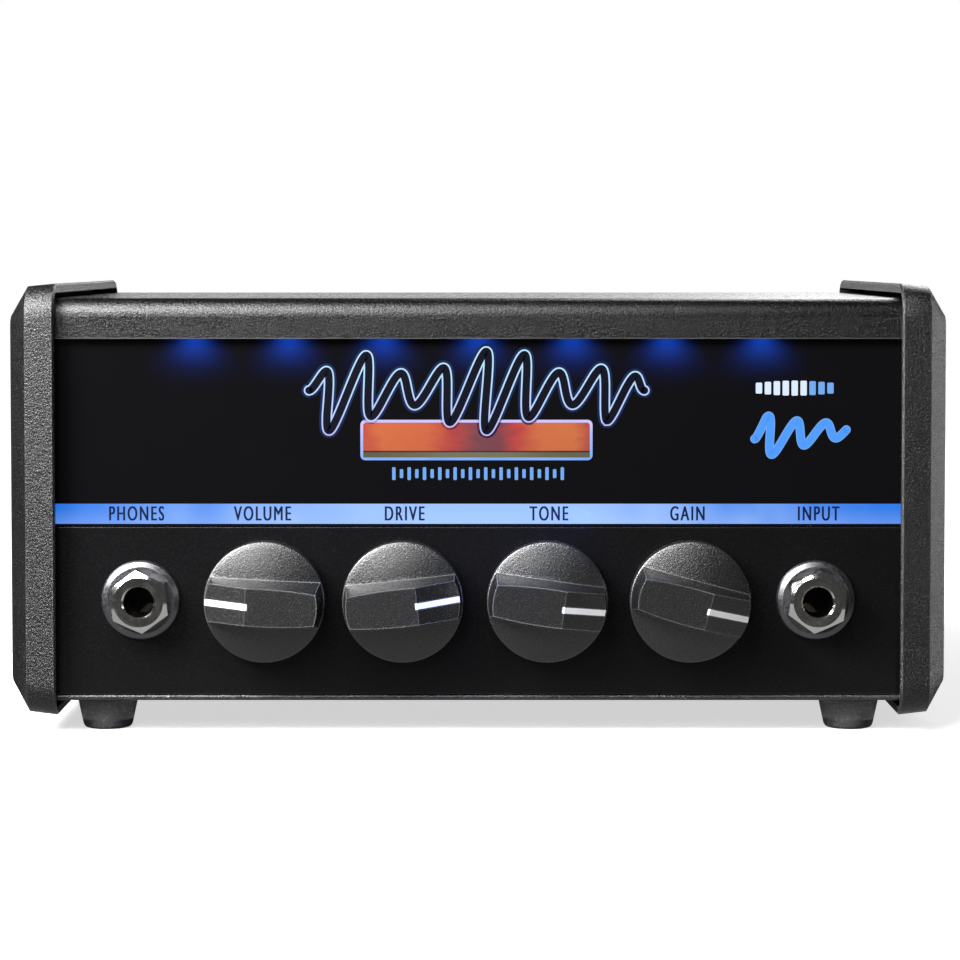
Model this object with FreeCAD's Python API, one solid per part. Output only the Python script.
import FreeCAD, Part
import math
import os

# Compact guitar amp head: a folded sheet-metal case held between two moulded cheeks,
# with a dark glowing window above a row of four knobs and two jacks.
# Millimetres. +Z is up, the front faces -Y, and the origin is on the ground, at the
# middle of the footprint.

Vec = FreeCAD.Vector

# ------------------------------------------------------------------ driving dimensions
# cheeks, one at each end
cheek_inner_x = 92.1
cheek_outer_x = 102.5
cheek_front_y = -55.0
cheek_rear_y = 65.0
cheek_bottom_z = 3.7
cheek_top_z = 98.5
cheek_corner_r = 7.0
cheek_wall = 1.9
cheek_hollow_r = 1.5
cheek_edge = 0.4           # small chamfer along the inboard edge
cheek_slope = 0.6          # the rim falls by this much from its inboard edge to the bevel
bevel_x = 4.0              # width of the outer bevel, across
bevel_in = 7.0             # width of the outer bevel, along the side face

# sheet-metal case
sheet = 1.2
case_bottom_z = 7.2
cover_top_z = 95.3
cover_side_x = 96.4
cover_front_y = -52.4
cover_rear_y = 62.4
cover_bend_r = 4.0
cover_side_bottom_z = 30.0
lip_bottom_z = 86.5
flange_bottom_z = 84.0
tray_side_x = 95.0
tray_side_top_z = 60.0
tray_front_y = -51.1
rear_panel_y = 61.0        # outer face of the rear panel

# front panel, window and film
panel_front_y = -50.9
panel_sheet = 1.5
panel_half_x = 93.5
panel_bottom_z = 8.5
panel_top_z = 45.3
window_bottom_z = 45.5
window_top_z = 88.5
window_thick = 3.0
film_thick = 0.2
light_half_x = 84.0        # opening behind the window that lets the light through
light_low_z = 46.8
light_high_z = 86.5

# controls
control_z = 29.3
knob_x = {"volume": -46.5, "drive": -16.4, "tone": 15.1, "gain": 46.2}
pointer_deg = {"volume": 177.0, "drive": 6.0, "tone": -8.0, "gain": -15.0}
knob_back_y = -51.9
knob_r = 13.2
skirt_high = 4.0
dome_high = 2.0
bar_top = 15.2
bar_end_r = 12.0
bar_mid_half = 4.1
bar_end_half = 3.4
bar_foot = 3.4             # height of the foot of the bar, where it is wider and nearly straight
bar_foot_end_r = 13.0
bar_foot_mid_half = 5.15
bar_foot_end_half = 5.0
slope_start = 3.4          # where the pointer end of the bar starts to fall away
slope_drop = 5.6
inlay_wide = 1.3
inlay_deep = 0.5
shaft_r = 3.0
shaft_flat = 1.5
running_gap = 0.05
seat_gap = 0.02

# jacks
jack_x = {"phones": -73.8, "input": 73.9}
rear_jack_x = {"speaker": 18.0, "fx_send": 46.0, "fx_return": 74.0}
jack_bore_r = 3.35
jack_mouth = 0.35
jack_thread_r = 4.7
jack_nut_flats = 12.0
jack_nut_face_r = 5.4      # where the bevel of the nut's corners starts
jack_washer_r = 8.7
jack_washer_rim_r = 7.1
front_jack_out = 5.5       # how far the threaded bush stands out of its panel
rear_jack_out = 7.0
jack_depth = 33.0          # from the mouth to the blind end of the bore

# rear fittings
dc_x = -74.0
switch_x = -48.0
aux_x = -18.0
aux_bore_r = 1.8
aux_depth = 15.0
switch_tilt = 9.0
switch_pivot_y = 59.8

# feet
foot_x = 82.3
foot_front_y = -41.0
foot_rear_y = 50.0
foot_top_r = 6.9
foot_bottom_r = 5.3
foot_recess_r = 3.0
foot_recess_high = 4.0

# screws (M3)
screw_r = 1.45
thread_hole_r = 1.5
clear_hole_r = 1.6
head_r = 2.8
head_high = 1.8

# boards
board = 1.6
main_board_z = 15.0

# ------------------------------------------------------------------ derived positions
panel_back_y = panel_front_y + panel_sheet
window_back_y = panel_front_y + window_thick
film_back_y = window_back_y + film_thick
backing_back_y = film_back_y + panel_sheet - 0.1
tray_floor_z = case_bottom_z + sheet
cover_inner_z = cover_top_z - sheet
rear_inner_y = rear_panel_y - sheet
cheek_screw_places = [(-35.0, 20.0), (45.0, 20.0), (-35.0, 75.0), (45.0, 75.0)]
main_board_holes = [(-78.0, -14.0), (78.0, -14.0), (-28.0, 44.0), (60.0, 26.0)]
feet = {"front_left_foot": (-foot_x, foot_front_y), "front_right_foot": (foot_x, foot_front_y),
        "rear_left_foot": (-foot_x, foot_rear_y), "rear_right_foot": (foot_x, foot_rear_y)}
cover_screw_x = [-82.0, 0.0, 82.0]
cover_screw_z = 89.5


# ------------------------------------------------------------------ basic shapes
def box(x0, x1, y0, y1, z0, z1):
    """Plain block between two corners."""
    return Part.makeBox(x1 - x0, y1 - y0, z1 - z0, Vec(x0, y0, z0))


def rod_x(y, z, x0, x1, r):
    """Round rod along X."""
    return Part.makeCylinder(r, x1 - x0, Vec(x0, y, z), Vec(1, 0, 0))


def rod_y(x, z, y0, y1, r):
    """Round rod along Y."""
    return Part.makeCylinder(r, y1 - y0, Vec(x, y0, z), Vec(0, 1, 0))


def rod_z(x, y, z0, z1, r):
    """Round rod along Z."""
    return Part.makeCylinder(r, z1 - z0, Vec(x, y, z0), Vec(0, 0, 1))


def prism(points, along):
    """Solid from a flat outline of points, extruded along a vector."""
    outline = [Vec(*point) for point in points]
    wire = Part.makePolygon([*outline, outline[0]])
    return Part.Face(wire).extrude(along)


def spun(points, centre, axis):
    """Solid of revolution from a closed outline that touches or clears the axis."""
    outline = [Vec(*point) for point in points]
    wire = Part.makePolygon([*outline, outline[0]])
    return Part.Face(wire).revolve(centre, axis, 360)


def union(shapes):
    """Several touching shapes fused into one solid."""
    return shapes[0].multiFuse(shapes[1:]).removeSplitter()


def cut_all(shape, tools):
    """Shape with every tool taken out of it."""
    return shape.cut(Part.makeCompound(tools))


def slot_y(x, z, length, r, y0, y1):
    """Round-ended horizontal slot, as a cutting tool along Y."""
    half = length / 2 - r
    ends = [rod_y(x - half, z, y0, y1, r), rod_y(x + half, z, y0, y1, r)]
    return union([box(x - half, x + half, y0, y1, z - r, z + r), *ends])


def slot_z(x, y, length, r, z0, z1):
    """Round-ended slot running front to back, as a cutting tool along Z."""
    half = length / 2 - r
    ends = [rod_z(x, y - half, z0, z1, r), rod_z(x, y + half, z0, z1, r)]
    return union([box(x - r, x + r, y - half, y + half, z0, z1), *ends])


def save(node, shape):
    """One STEP file per sub-part."""
    shape.exportStep(os.path.join("parts", node + ".step"))


# ------------------------------------------------------------------ cheeks
def cheek_outline(x, inset, corner_r):
    """Rounded rectangle at x, inset from the cheek's side outline."""
    y0 = cheek_front_y + inset
    y1 = cheek_rear_y - inset
    z0 = cheek_bottom_z + inset
    z1 = cheek_top_z - inset
    corners = [(y1, z0, -45), (y1, z1, 45), (y0, z1, 135), (y0, z0, 225)]
    arcs = []
    for y, z, middle in corners:
        cy = y - corner_r if y == y1 else y + corner_r
        cz = z - corner_r if z == z1 else z + corner_r
        points = []
        for angle in (middle - 45, middle, middle + 45):
            turn = math.radians(angle)
            points.append(Vec(x, cy + corner_r * math.cos(turn), cz + corner_r * math.sin(turn)))
        arcs.append(Part.Arc(*points).toShape())
    edges = []
    for arc, after in zip(arcs, arcs[1:] + arcs[:1]):
        edges.append(arc)
        edges.append(Part.makeLine(arc.Vertexes[-1].Point, after.Vertexes[0].Point))
    return Part.Wire(edges)


def cheek_shape():
    """Right-hand cheek: a hollow moulding with a bevelled outer face and screw bosses."""
    bevel_start = cheek_outer_x - bevel_x
    outside = Part.makeLoft([
        cheek_outline(cheek_inner_x, cheek_edge, cheek_corner_r - cheek_edge),
        cheek_outline(cheek_inner_x + cheek_edge, 0.0, cheek_corner_r),
        cheek_outline(bevel_start, cheek_slope, cheek_corner_r),
        cheek_outline(cheek_outer_x, bevel_in, 2.5),
    ], True, True)
    hollow_end = cheek_outer_x - cheek_wall
    hollow = Part.makeLoft([
        cheek_outline(cheek_inner_x - 1.0, cheek_wall, cheek_hollow_r),
        cheek_outline(bevel_start - 0.6, cheek_wall + cheek_slope, cheek_hollow_r),
        cheek_outline(hollow_end, bevel_in + 0.6, cheek_hollow_r),
    ], True, True)
    shell = outside.cut(hollow)
    bosses = []
    pilots = []
    for y, z in cheek_screw_places:
        start = tray_side_x if z < cover_side_bottom_z else cover_side_x
        bosses.append(rod_x(y, z, start, hollow_end + 0.5, 3.6))
        pilots.append(rod_x(y, z, start - 1.0, hollow_end - 0.2, thread_hole_r))
    return cut_all(union([shell, *bosses]), pilots)


def cheek_screws():
    """Screws from inside the case into the cheek bosses, as separate solids."""
    screws = []
    for y, z in cheek_screw_places:
        seat = tray_side_x - sheet if z < cover_side_bottom_z else cover_side_x - sheet
        head = rod_x(y, z, seat - head_high, seat, head_r)
        shank = rod_x(y, z, seat, cheek_outer_x - cheek_wall - 0.6, screw_r)
        screws.append(union([head, shank]))
    mirrored = [screw.mirror(Vec(0, 0, 0), Vec(1, 0, 0)) for screw in screws]
    return Part.makeCompound(screws + mirrored)


# ------------------------------------------------------------------ sheet metal
def round_edges(shape, r, wanted):
    """Fillet the edges whose middle point passes a test."""
    edges = [edge for edge in shape.Edges if wanted(edge.CenterOfMass)]
    return shape.makeFillet(r, edges)


def both_sides(x0, x1, y0, y1, z0, z1):
    """The same block at +X and at -X."""
    return [box(x0, x1, y0, y1, z0, z1), box(-x1, -x0, y0, y1, z0, z1)]


def top_cover():
    """Top, front lip, sides and rear flange folded from one sheet."""
    outer = box(-cover_side_x, cover_side_x, cover_front_y, cover_rear_y,
                cover_side_bottom_z, cover_top_z)
    outer = round_edges(outer, cover_bend_r,
                        lambda p: p.y < cover_front_y + 0.1 and p.z > cover_top_z - 0.1)
    inner = box(-cover_side_x + sheet, cover_side_x - sheet, cover_front_y + sheet,
                cover_rear_y - sheet, cover_side_bottom_z - 5, cover_inner_z)
    inner = round_edges(inner, cover_bend_r - sheet,
                        lambda p: p.y < cover_front_y + 1.5 and p.z > cover_inner_z - 0.1)
    open_x = cover_side_x - sheet
    tools = [inner,
             box(-open_x, open_x, cover_front_y - 1, cover_front_y + 5, 0, lip_bottom_z),
             box(-open_x, open_x, cover_rear_y - 5, cover_rear_y + 1, 0, flange_bottom_z)]
    for x in cover_screw_x:
        tools.append(rod_y(x, cover_screw_z, cover_rear_y - 5, cover_rear_y + 1, clear_hole_r))
    for y, z in cheek_screw_places:
        if z > cover_side_bottom_z:
            tools.append(rod_x(y, z, -cover_side_x - 1, cover_side_x + 1, clear_hole_r))
    return cut_all(outer, tools)


def chassis_tray():
    """Floor and two low sides folded from one sheet."""
    floor = box(-tray_side_x, tray_side_x, tray_front_y, rear_panel_y, case_bottom_z, tray_floor_z)
    floor = round_edges(floor, 0.5, lambda p: p.y < tray_front_y + 0.1 and abs(p.x) < 1)
    sides = both_sides(tray_side_x - sheet, tray_side_x, panel_front_y, rear_panel_y,
                       tray_floor_z, tray_side_top_z)
    tools = []
    for x, y in feet.values():
        tools.append(rod_z(x, y, 0, 20, clear_hole_r))
    for y, z in cheek_screw_places:
        if z < cover_side_bottom_z:
            tools.append(rod_x(y, z, -tray_side_x - 1, tray_side_x + 1, clear_hole_r))
    for column in range(9):
        for y in (-8.0, 22.0):
            tools.append(slot_z((column - 4) * 14.0, y, 20.0, 1.2, 0, 20))
    return cut_all(union([floor, *sides]), tools)


def front_panel():
    """Lower front plate, a shelf at its top edge, and the upright that backs the window."""
    plate = box(-panel_half_x, panel_half_x, panel_front_y, panel_back_y,
                panel_bottom_z, panel_top_z)
    shelf = box(-panel_half_x, panel_half_x, panel_back_y, backing_back_y,
                panel_top_z - panel_sheet, panel_top_z)
    upright = box(-panel_half_x, panel_half_x, film_back_y, backing_back_y,
                  panel_top_z, cover_inner_z - 0.4)
    tools = [box(-light_half_x, light_half_x, film_back_y - 1, backing_back_y + 1,
                 light_low_z, light_high_z)]
    for x in knob_x.values():
        tools.append(rod_y(x, control_z, panel_front_y - 1, panel_back_y + 1, 3.6))
    for x in jack_x.values():
        tools.append(rod_y(x, control_z, panel_front_y - 1, panel_back_y + 1, jack_thread_r + 0.1))
    return cut_all(union([plate, shelf, upright]), tools)


def rear_panel():
    """Flat plate with the connector holes and three rows of vent slots."""
    plate = box(-panel_half_x, panel_half_x, rear_inner_y, rear_panel_y,
                tray_floor_z, cover_inner_z - 0.4)
    y0 = rear_inner_y - 1
    y1 = rear_panel_y + 1
    tools = [box(dc_x - 5, dc_x + 5, y0, y1, control_z - 6, control_z + 6),
             box(switch_x - 6.5, switch_x + 6.5, y0, y1, control_z - 9.5, control_z + 9.5),
             rod_y(aux_x, control_z, y0, y1, 3.1)]
    for x in rear_jack_x.values():
        tools.append(rod_y(x, control_z, y0, y1, jack_thread_r + 0.1))
    for x in cover_screw_x:
        tools.append(rod_y(x, cover_screw_z, y0, y1, thread_hole_r))
    for row in range(3):
        for column in range(11):
            tools.append(slot_y((column - 5) * 14.0, 56.0 + row * 9.0, 10.0, 1.3, y0, y1))
    return cut_all(plate, tools)


def cover_screws():
    """Pan-head screws through the cover's rear flange, as separate solids."""
    screws = []
    for x in cover_screw_x:
        head = rod_y(x, cover_screw_z, cover_rear_y, cover_rear_y + head_high, head_r)
        cross = [box(x - 1.5, x + 1.5, cover_rear_y + 0.8, cover_rear_y + 3,
                     cover_screw_z - 0.35, cover_screw_z + 0.35),
                 box(x - 0.35, x + 0.35, cover_rear_y + 0.8, cover_rear_y + 3,
                     cover_screw_z - 1.5, cover_screw_z + 1.5)]
        shank = rod_y(x, cover_screw_z, cover_rear_y - 8, cover_rear_y, screw_r)
        screws.append(cut_all(union([head, shank]), cross))
    return Part.makeCompound(screws)


# ------------------------------------------------------------------ window and its light
def front_window():
    """Dark acrylic pane across the whole front, tucked up behind the cover's lip."""
    return box(-panel_half_x, panel_half_x, panel_front_y, window_back_y,
               window_bottom_z, window_top_z)


def window_film():
    """Printed film that carries the graphics behind the pane."""
    return box(-panel_half_x, panel_half_x, window_back_y, film_back_y,
               window_bottom_z, window_top_z)


led_board_front_y = backing_back_y + 1.6
led_spacer_places = [(-86.5, 54.0), (86.5, 54.0), (-86.5, 80.0), (86.5, 80.0)]


def led_board():
    """Board that lights the window from behind."""
    return box(-89.5, 89.5, led_board_front_y, led_board_front_y + board, 47.0, 87.5)


def leds():
    """Seven lamps along the top edge and a row along the bottom band."""
    lamps = []
    for place in range(7):
        x = (place - 3) * 20.6
        lamps.append(box(x - 2.5, x + 2.5, led_board_front_y - 1.4, led_board_front_y, 81.0, 86.0))
    for place in range(12):
        x = (place - 5.5) * 14.0
        lamps.append(box(x - 1.8, x + 1.8, led_board_front_y - 1.4, led_board_front_y, 47.3, 50.1))
    return Part.makeCompound(lamps)


# ------------------------------------------------------------------ knobs and pots
def grip_outline(z, end_r, mid_half, end_half):
    """Barrel-shaped outline of the grip bar at height z."""
    end_x = math.sqrt(end_r ** 2 - end_half ** 2)
    right_low = Vec(end_x, -end_half, z)
    right_high = Vec(end_x, end_half, z)
    left_high = Vec(-end_x, end_half, z)
    left_low = Vec(-end_x, -end_half, z)
    return Part.Wire([
        Part.Arc(right_low, Vec(end_r, 0, z), right_high).toShape(),
        Part.Arc(right_high, Vec(0, mid_half, z), left_high).toShape(),
        Part.Arc(left_high, Vec(-end_r, 0, z), left_low).toShape(),
        Part.Arc(left_low, Vec(0, -mid_half, z), right_low).toShape(),
    ])


def slope_height(x):
    """Height of the falling pointer end of the bar at x."""
    return bar_top - slope_drop * (x - slope_start) / (bar_end_r - slope_start)


def d_rod(z0, z1, r, flat):
    """Round rod along Z with one flat."""
    flatted = box(-r - 1, r + 1, flat, r + 1, z0 - 1, z1 + 1)
    return rod_z(0, 0, z0, z1, r).cut(flatted)


def knob_parts():
    """Knob, white inlay and shaft. Axis +Z out of the panel, pointer along +X, back at z = 0."""
    dome_r = (knob_r ** 2 + dome_high ** 2) / (2 * dome_high)
    rim = 0.4
    skirt = rod_z(0, 0, 0, skirt_high + dome_high, knob_r)
    dome = Part.makeSphere(dome_r, Vec(0, 0, skirt_high + dome_high - dome_r))
    skirt = skirt.common(dome)
    skirt = round_edges(skirt, rim, lambda p: p.z > skirt_high - 0.2 and abs(p.x) < 1)
    foot_outline = grip_outline(bar_foot, bar_foot_end_r, bar_foot_mid_half, bar_foot_end_half)
    top_outline = grip_outline(bar_top, bar_end_r, bar_mid_half, bar_end_half)
    bar = Part.makeLoft([foot_outline, top_outline], True, True)
    end_x = knob_r + 2
    wedge = prism([(slope_start, -9, bar_top), (end_x, -9, slope_height(end_x)),
                   (end_x, -9, bar_top + 2), (slope_start, -9, bar_top + 2)], Vec(0, 18, 0))
    strip = prism([(slope_start - 0.4, -inlay_wide / 2, bar_top - inlay_deep),
                   (slope_start - 0.4, -inlay_wide / 2, bar_top + 1),
                   (end_x, -inlay_wide / 2, bar_top + 1),
                   (end_x, -inlay_wide / 2, slope_height(end_x) - inlay_deep),
                   (slope_start, -inlay_wide / 2, bar_top - inlay_deep)], Vec(0, inlay_wide, 0))
    blank = union([skirt, bar.cut(wedge)])
    inlay = blank.common(strip)
    recess = rod_z(0, 0, -1, 2.9, 7.2)
    bore = d_rod(2.0, 12.6, shaft_r + seat_gap, shaft_flat + seat_gap)
    knob = cut_all(blank, [strip, recess, bore])
    shaft_rear = knob_back_y - (panel_back_y + 8.0)
    shaft = union([rod_z(0, 0, shaft_rear, 2.5, shaft_r), d_rod(2.5, 12.5, shaft_r, shaft_flat)])
    return {"knob": knob, "indicator": inlay, "shaft": shaft}


def face_front(shape, x, angle):
    """Stand a knob part on the front panel with its pointer at an angle from +X."""
    placed = shape.copy()
    placed.rotate(Vec(0, 0, 0), Vec(1, 0, 0), 90)
    placed.rotate(Vec(0, 0, 0), Vec(0, -1, 0), angle)
    placed.translate(Vec(x, knob_back_y, control_z))
    return placed


control_board_y = panel_back_y + 11.0


def pot(x):
    """Potentiometer: housing against the back of the panel, bush through it, three pins."""
    housing = box(x - 8.5, x + 8.5, panel_back_y, panel_back_y + 9.5, control_z - 9, control_z + 8)
    bush = rod_y(x, control_z, panel_front_y - 3.5, panel_back_y, 3.5)
    pins = [box(x + shift - 0.4, x + shift + 0.4, panel_back_y + 9.5, control_board_y,
                control_z - 7.4, control_z - 6.6) for shift in (-5, 0, 5)]
    bore = rod_y(x, control_z, panel_front_y - 5, panel_back_y + 8.6, shaft_r + running_gap)
    return union([housing, bush, *pins]).cut(bore)


def hex_ring(x, z, y0, y1, flats, bore_r, turn, bevel_end, face_r):
    """Hexagon nut along Y, bevelled outside face_r at the end named by bevel_end (-1 or 1)."""
    corner_r = flats / math.sqrt(3)
    outline = []
    for side in range(6):
        angle = math.radians(60 * side + turn)
        outline.append((x + corner_r * math.cos(angle), y0, z + corner_r * math.sin(angle)))
    nut = prism(outline, Vec(0, y1 - y0, 0))
    lean = (corner_r - face_r) * 0.55
    long_r = face_r + (y1 - y0) * (corner_r - face_r) / lean
    if bevel_end < 0:
        cone = Part.makeCone(face_r, long_r, y1 - y0, Vec(x, y0, z), Vec(0, 1, 0))
    else:
        cone = Part.makeCone(face_r, long_r, y1 - y0, Vec(x, y1, z), Vec(0, -1, 0))
    return nut.common(cone).cut(rod_y(x, z, y0 - 1, y1 + 1, bore_r))


def pot_nuts():
    """Thin nuts that hold the pots, hidden in the knobs' recesses."""
    nuts = []
    for x in knob_x.values():
        nuts.append(hex_ring(x, control_z, panel_front_y - 2.5, panel_front_y - 0.5, 10.0, 3.55, 0, -1, 4.8))
    return Part.makeCompound(nuts)


def pot_washers():
    """Thin washers under the pot nuts."""
    rings = []
    for x in knob_x.values():
        outer = rod_y(x, control_z, panel_front_y - 0.5, panel_front_y, 6.0)
        rings.append(outer.cut(rod_y(x, control_z, panel_front_y - 1, panel_front_y + 1, 3.6)))
    return Part.makeCompound(rings)


# ------------------------------------------------------------------ jacks
def jack_at(x, shape, rear):
    """Stand a jack part, drawn mouth-down along -Z from the panel face, on its panel."""
    placed = shape.copy()
    if rear:
        placed.rotate(Vec(0, 0, 0), Vec(1, 0, 0), -90)
        placed.translate(Vec(x, rear_panel_y, control_z))
    else:
        placed.rotate(Vec(0, 0, 0), Vec(1, 0, 0), 90)
        placed.translate(Vec(x, panel_front_y, control_z))
    return placed


def jack(out, skin):
    """Jack body: threaded bush standing out by out, housing behind a panel of thickness skin."""
    bush = rod_z(0, 0, -skin, out, jack_thread_r)
    back = out - jack_depth - 1.5
    housing = box(-7.5, 7.5, -7.0, 7.0, back, -skin)
    body = union([bush, housing])
    bore = rod_z(0, 0, out - jack_depth, out + 1, jack_bore_r)
    mouth = Part.makeCone(jack_bore_r, jack_bore_r + jack_mouth, jack_mouth,
                          Vec(0, 0, out - jack_mouth), Vec(0, 0, 1))
    slots = [box(-1.0, 1.0, jack_bore_r - 0.6, jack_bore_r + 0.9, back + 3, -skin - 4),
             box(-1.0, 1.0, -jack_bore_r - 0.9, -jack_bore_r + 0.6, back + 3, -skin - 4)]
    return cut_all(body, [bore, mouth, *slots])


def jack_contacts(out, skin):
    """Two spring strips, one above and one below the bore."""
    back = out - jack_depth - 1.5
    strips = []
    for side in (-1, 1):
        y0 = side * (jack_bore_r + 0.3)
        y1 = side * (jack_bore_r + 0.8)
        strips.append(box(-0.9, 0.9, min(y0, y1), max(y0, y1), back + 3.2, -skin - 4.4))
    return Part.makeCompound(strips)


def dress_washer():
    """Washer with a bevelled rim round the nut, its back face on the panel at z = 0."""
    rim_r = jack_washer_rim_r
    return spun([(jack_thread_r + 0.1, 0, 0), (jack_washer_r, 0, 0), (jack_washer_r, 0, 0.5),
                 (jack_washer_r - 0.3, 0, 1.0), (rim_r + 0.3, 0, 1.6), (rim_r, 0, 1.6), (rim_r, 0, 1.0),
                 (jack_thread_r + 0.1, 0, 1.0)], Vec(0, 0, 0), Vec(0, 0, 1))


def jack_nuts():
    """Five bevelled hexagon nuts for the panel jacks."""
    nuts = []
    turns = {"phones": 36.0, "input": 24.0}
    front_face = panel_front_y - front_jack_out
    for name, x in jack_x.items():
        nuts.append(hex_ring(x, control_z, front_face, panel_front_y - 1.0, jack_nut_flats,
                             jack_thread_r + running_gap, turns[name], -1, jack_nut_face_r))
    for number, x in enumerate(rear_jack_x.values()):
        nuts.append(hex_ring(x, control_z, rear_panel_y + 1.0, rear_panel_y + 4.5, jack_nut_flats,
                             jack_thread_r + running_gap, 12.0 + 17.0 * number, 1, jack_nut_face_r))
    return Part.makeCompound(nuts)


def jack_washers():
    """Five dress washers for the panel jacks."""
    rings = [jack_at(x, dress_washer(), False) for x in jack_x.values()]
    rings += [jack_at(x, dress_washer(), True) for x in rear_jack_x.values()]
    return Part.makeCompound(rings)


def aux_jack():
    """Small jack with a round slotted bush, its nut turned from the same piece."""
    bush = rod_y(aux_x, control_z, rear_inner_y, rear_panel_y + 3.5, 3.0)
    collar = rod_y(aux_x, control_z, rear_panel_y, rear_panel_y + 2.0, 4.6)
    housing = box(aux_x - 4, aux_x + 4, rear_panel_y - 14, rear_inner_y,
                  control_z - 4, control_z + 4)
    mouth_y = rear_panel_y + 3.5
    bore = rod_y(aux_x, control_z, mouth_y - aux_depth, mouth_y + 1, aux_bore_r)
    return union([bush, collar, housing]).cut(bore)


# ------------------------------------------------------------------ power fittings
def dc_inlet():
    """Barrel socket with a flange outside the rear panel."""
    flange = box(dc_x - 6, dc_x + 6, rear_panel_y, rear_panel_y + 1.2, control_z - 7, control_z + 7)
    flange = round_edges(flange, 1.0, lambda p: abs(abs(p.x - dc_x) - 6) < 0.1
                         and abs(abs(p.z - control_z) - 7) < 0.1)
    body = box(dc_x - 4.9, dc_x + 4.9, rear_panel_y - 13, rear_panel_y, control_z - 5.9, control_z + 5.9)
    bore = rod_y(dc_x, control_z, rear_panel_y - 9, rear_panel_y + 5, 3.1)
    return union([flange, body]).cut(bore)


def dc_inlet_pin():
    """Centre pin of the barrel socket."""
    pin = rod_y(dc_x, control_z, rear_panel_y - 9, rear_panel_y - 0.4, 1.0)
    return pin.fuse(Part.makeSphere(1.0, Vec(dc_x, rear_panel_y - 0.4, control_z))).removeSplitter()


def power_switch_frame():
    """Bezel and open-backed cup that carry the rocker on two side holes."""
    bezel = box(switch_x - 7.5, switch_x + 7.5, rear_panel_y, rear_panel_y + 1.6,
                control_z - 10.5, control_z + 10.5)
    bezel = round_edges(bezel, 0.6, lambda p: p.y > rear_panel_y + 1.5)
    cup = box(switch_x - 6.4, switch_x + 6.4, rear_panel_y - 15, rear_panel_y,
              control_z - 9.4, control_z + 9.4)
    well = box(switch_x - 5.5, switch_x + 5.5, rear_panel_y - 14, rear_panel_y + 5,
               control_z - 8.5, control_z + 8.5)
    pivot = rod_x(switch_pivot_y, control_z, switch_x - 6.1, switch_x + 6.1, 1.0 + running_gap)
    terminals = [box(switch_x - 3, switch_x + 3, rear_panel_y - 21, rear_panel_y - 15,
                     control_z + shift - 0.4, control_z + shift + 0.4) for shift in (-5, 5)]
    return cut_all(union([bezel, cup, *terminals]), [well, pivot])


def power_switch_rocker():
    """Rocker with a shallow V face on two trunnions, tipped to its first stop."""
    outline = [(-7.9, 3.0), (0, 2.2), (7.9, 3.0), (7.6, 0.5), (2.2, -3.5), (-2.2, -3.5), (-7.6, 0.5)]
    points = [(switch_x - 5.2, switch_pivot_y + out, control_z + up) for up, out in outline]
    paddle = prism(points, Vec(10.4, 0, 0))
    trunnion = rod_x(switch_pivot_y, control_z, switch_x - 6.0, switch_x + 6.0, 1.0)
    rocker = union([paddle, trunnion])
    rocker.rotate(Vec(switch_x, switch_pivot_y, control_z), Vec(1, 0, 0), -switch_tilt)
    return rocker


# ------------------------------------------------------------------ feet
def foot(x, y):
    """Tapered rubber foot with a rounded lower edge and a recess for its screw."""
    outline = [(clear_hole_r, 0, foot_recess_high), (clear_hole_r, 0, case_bottom_z),
               (foot_top_r, 0, case_bottom_z), (foot_top_r, 0, case_bottom_z - 0.9),
               (foot_top_r - 0.3, 0, case_bottom_z - 1.1), (foot_bottom_r + 0.2, 0, 1.0),
               (foot_bottom_r, 0, 0.45), (foot_bottom_r - 0.35, 0, 0.12), (foot_bottom_r - 0.8, 0, 0),
               (foot_recess_r, 0, 0), (foot_recess_r, 0, foot_recess_high)]
    shape = spun(outline, Vec(0, 0, 0), Vec(0, 0, 1))
    shape.translate(Vec(x, y, 0))
    return shape


def foot_screws():
    """Screws up through the feet and the floor, as separate solids."""
    screws = []
    for x, y in feet.values():
        head = rod_z(x, y, foot_recess_high - head_high, foot_recess_high, head_r)
        screws.append(union([head, rod_z(x, y, foot_recess_high, tray_floor_z + 3.4, screw_r)]))
    return Part.makeCompound(screws)


def foot_nuts():
    """Nuts on the foot screws inside the case."""
    nuts = []
    for x, y in feet.values():
        nut = hex_ring(0, 0, 0, 2.4, 5.5, thread_hole_r, 0, 1, 2.6)
        nut.rotate(Vec(0, 0, 0), Vec(1, 0, 0), 90)
        nut.translate(Vec(x, y, tray_floor_z))
        nuts.append(nut)
    return Part.makeCompound(nuts)


# ------------------------------------------------------------------ electronics
def main_board():
    """Amplifier board on standoffs above the floor."""
    plate = box(-84, 84, -20, 50, main_board_z, main_board_z + board)
    holes = [rod_z(x, y, 0, 30, clear_hole_r) for x, y in main_board_holes]
    return cut_all(plate, holes)


def standoffs():
    """Pillars under the main board and spacers behind the light board."""
    pillars = []
    for x, y in main_board_holes:
        pillar = rod_z(x, y, tray_floor_z, main_board_z, 2.8)
        pillars.append(pillar.cut(rod_z(x, y, tray_floor_z + 0.6, main_board_z + 1, thread_hole_r)))
    for x, z in led_spacer_places:
        pillars.append(rod_y(x, z, backing_back_y, led_board_front_y, 2.0))
    return Part.makeCompound(pillars)


def board_screws():
    """Screws that hold the main board, as separate solids."""
    top = main_board_z + board
    screws = []
    for x, y in main_board_holes:
        screws.append(union([rod_z(x, y, top, top + head_high, head_r),
                             rod_z(x, y, tray_floor_z + 0.8, top, screw_r)]))
    return Part.makeCompound(screws)


def control_board():
    """Upright board that the four pots are soldered to."""
    return box(-62, 62, control_board_y, control_board_y + board, 18.5, 43.0)


def amp_chips():
    """Two power amplifier packages under the heatsink."""
    top = main_board_z + board
    return Part.makeCompound([box(x - 7, x + 7, -2, 12, top, top + 1.5) for x in (-10.0, 10.0)])


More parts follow.
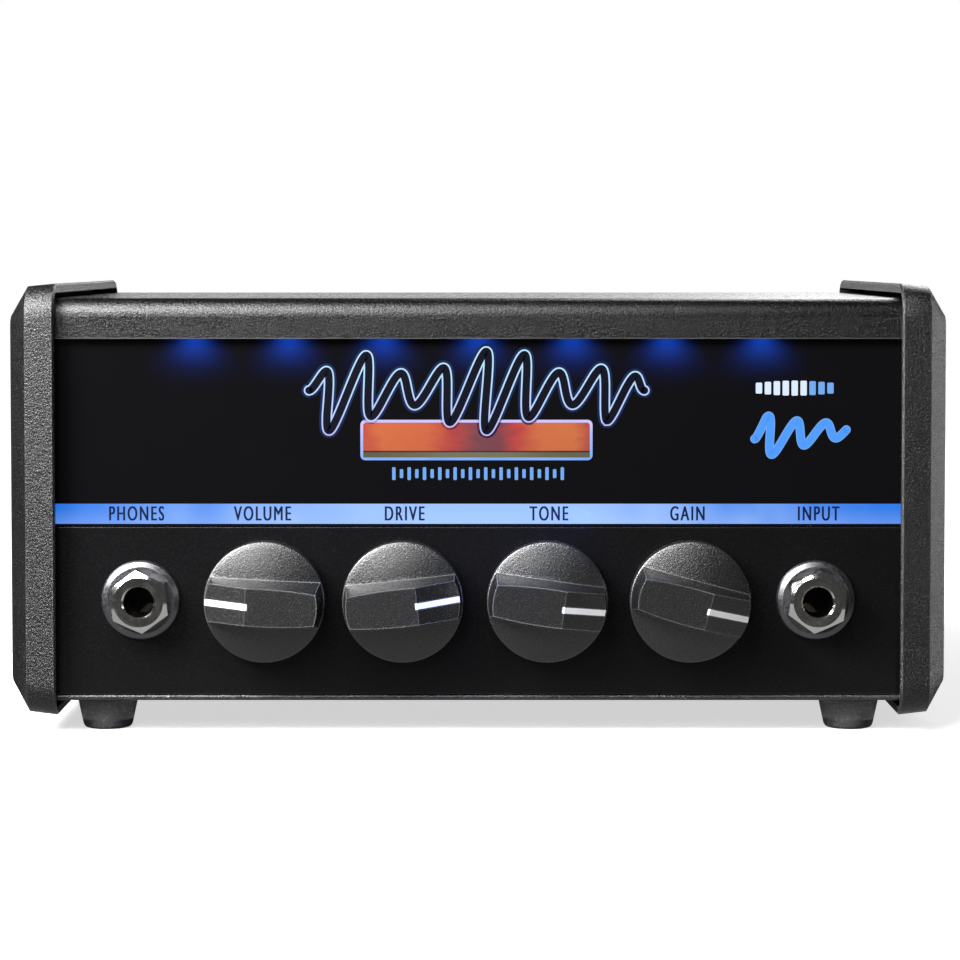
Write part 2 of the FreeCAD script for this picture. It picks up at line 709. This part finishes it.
def heatsink():
    """Extruded fins on a thick base that sits on the amplifier packages."""
    base_z = main_board_z + board + 1.5
    pieces = [box(-27, 27, -9, 19, base_z, base_z + 3)]
    for fin in range(10):
        x = -27 + fin * (54 - 1.4) / 9
        pieces.append(box(x, x + 1.4, -9, 19, base_z + 3, 44))
    return union(pieces)


def capacitors():
    """Supply capacitors, with the groove that their cans are crimped at."""
    top = main_board_z + board
    cans = []
    for x, y in [(-68, -4), (-68, 11), (-52, -4), (-52, 11)]:
        can = rod_z(x, y, top, top + 20, 6.2)
        groove = rod_z(x, y, top + 2.0, top + 3.0, 7).cut(rod_z(x, y, top + 2.0, top + 3.0, 5.8))
        cans.append(can.cut(groove))
    return Part.makeCompound(cans)


def inductors():
    """Output filter coils on the board."""
    top = main_board_z + board
    coils = []
    for x, y in [(44, -4), (44, 12), (62, -4), (62, 12)]:
        block = box(x - 6, x + 6, y - 6, y + 6, top, top + 8)
        coils.append(round_edges(block, 1.5, lambda p, cx=x, cy=y: abs(abs(p.x - cx) - 6) < 0.1
                                 and abs(abs(p.y - cy) - 6) < 0.1))
    return Part.makeCompound(coils)


# ------------------------------------------------------------------ build every sub-part
os.makedirs("parts", exist_ok=True)

right_cheek = cheek_shape()
save("right_cheek", right_cheek)
save("left_cheek", right_cheek.mirror(Vec(0, 0, 0), Vec(1, 0, 0)))

single_parts = [
    cheek_screws, top_cover, chassis_tray, front_panel, rear_panel, cover_screws,
    front_window, window_film, led_board, leds, pot_nuts, pot_washers, jack_nuts, jack_washers,
    aux_jack, dc_inlet, dc_inlet_pin, power_switch_frame, power_switch_rocker,
    foot_screws, foot_nuts, main_board, standoffs, board_screws, control_board,
    amp_chips, heatsink, capacitors, inductors,
]
for make in single_parts:
    save(make.__name__, make())

for name, x in knob_x.items():
    for kind, shape in knob_parts().items():
        save(name + "_" + kind, face_front(shape, x, pointer_deg[name]))
    save(name + "_pot", pot(x))

for name, x in jack_x.items():
    save(name + "_jack", jack_at(x, jack(front_jack_out, panel_sheet), False))
    save(name + "_jack_contacts", jack_at(x, jack_contacts(front_jack_out, panel_sheet), False))

for name, x in rear_jack_x.items():
    save(name + "_jack", jack_at(x, jack(rear_jack_out, sheet), True))

for name, (x, y) in feet.items():
    save(name, foot(x, y))
